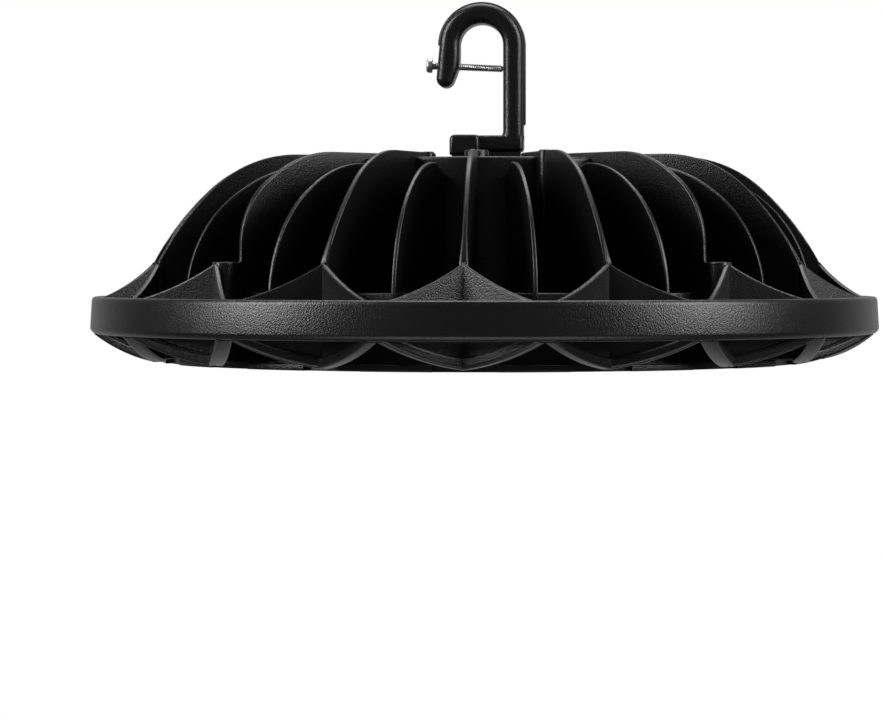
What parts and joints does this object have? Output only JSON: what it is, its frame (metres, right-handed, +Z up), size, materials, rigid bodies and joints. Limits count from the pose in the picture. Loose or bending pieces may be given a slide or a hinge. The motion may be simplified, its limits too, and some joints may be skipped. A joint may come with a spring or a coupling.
{
  "type": "high bay light",
  "caption": "Round ceiling light with a finned die-cast heat sink, a zigzag rim, a cast hook on top, and a lens plate below.",
  "frame": {"origin": "centre of the flat underside, on the lamp's axis", "axes": "+Z up along the lamp's axis to the hook, -Y to the front, where the hook's mouth is seen to the left, +X to the right"},
  "size_m": [0.303, 0.303, 0.139],
  "materials": {
    "black_powder_coat": "black fine-texture powder coat, satin, on die-cast aluminium",
    "black_powder_coat_hook": "black fine-texture powder coat, satin, on cast steel",
    "zinc_plated_steel": "bright zinc plate",
    "black_rubber": "matte",
    "black_nylon": "moulded, matte",
    "white_moulding": "moulded, matte",
    "green_laminate": "solder mask",
    "transformer_tape": "polyester tape",
    "choke_winding": "enamelled copper wire",
    "capacitor_sleeve": "shrink sleeve",
    "film_capacitor_case": "moulded box",
    "white_solder_mask": "white solder mask on an aluminium board",
    "phosphor": "phosphor gel in a white package",
    "lead_insulation": "silicone insulation",
    "silicone": "matte",
    "clear_polycarbonate": "clear, moulded"
  },
  "bodies": {
    "lamp": {"heat_sink": "black_powder_coat", "hook": "black_powder_coat_hook", "hook_screws": "zinc_plated_steel", "gland_ring": "black_rubber", "gland_lock_nut": "black_nylon", "gland_body": "black_nylon", "gland_cap": "black_nylon", "gland_seal": "black_rubber", "driver_tray": "white_moulding", "tray_screws": "zinc_plated_steel", "driver_board": "green_laminate", "transformer": "transformer_tape", "choke": "choke_winding", "capacitors": "capacitor_sleeve", "film_capacitor": "film_capacitor_case", "terminal_block": "white_moulding", "driver_screws": "zinc_plated_steel", "light_board": "white_solder_mask", "light_chips": "phosphor", "light_board_screws": "zinc_plated_steel", "light_connector": "white_moulding", "light_leads": "lead_insulation", "lens_gasket": "silicone", "lens_plate": "clear_polycarbonate", "lens_screws": "zinc_plated_steel"},
    "keeper": {"keeper_screw": "zinc_plated_steel"}
  },
  "joints": [
    {"name": "keeper_slide", "type": "slide", "parent": "lamp", "child": "keeper", "axis": [-0.999, 0, 0.0454], "range_m": [0, 0.0165]}
  ]
}
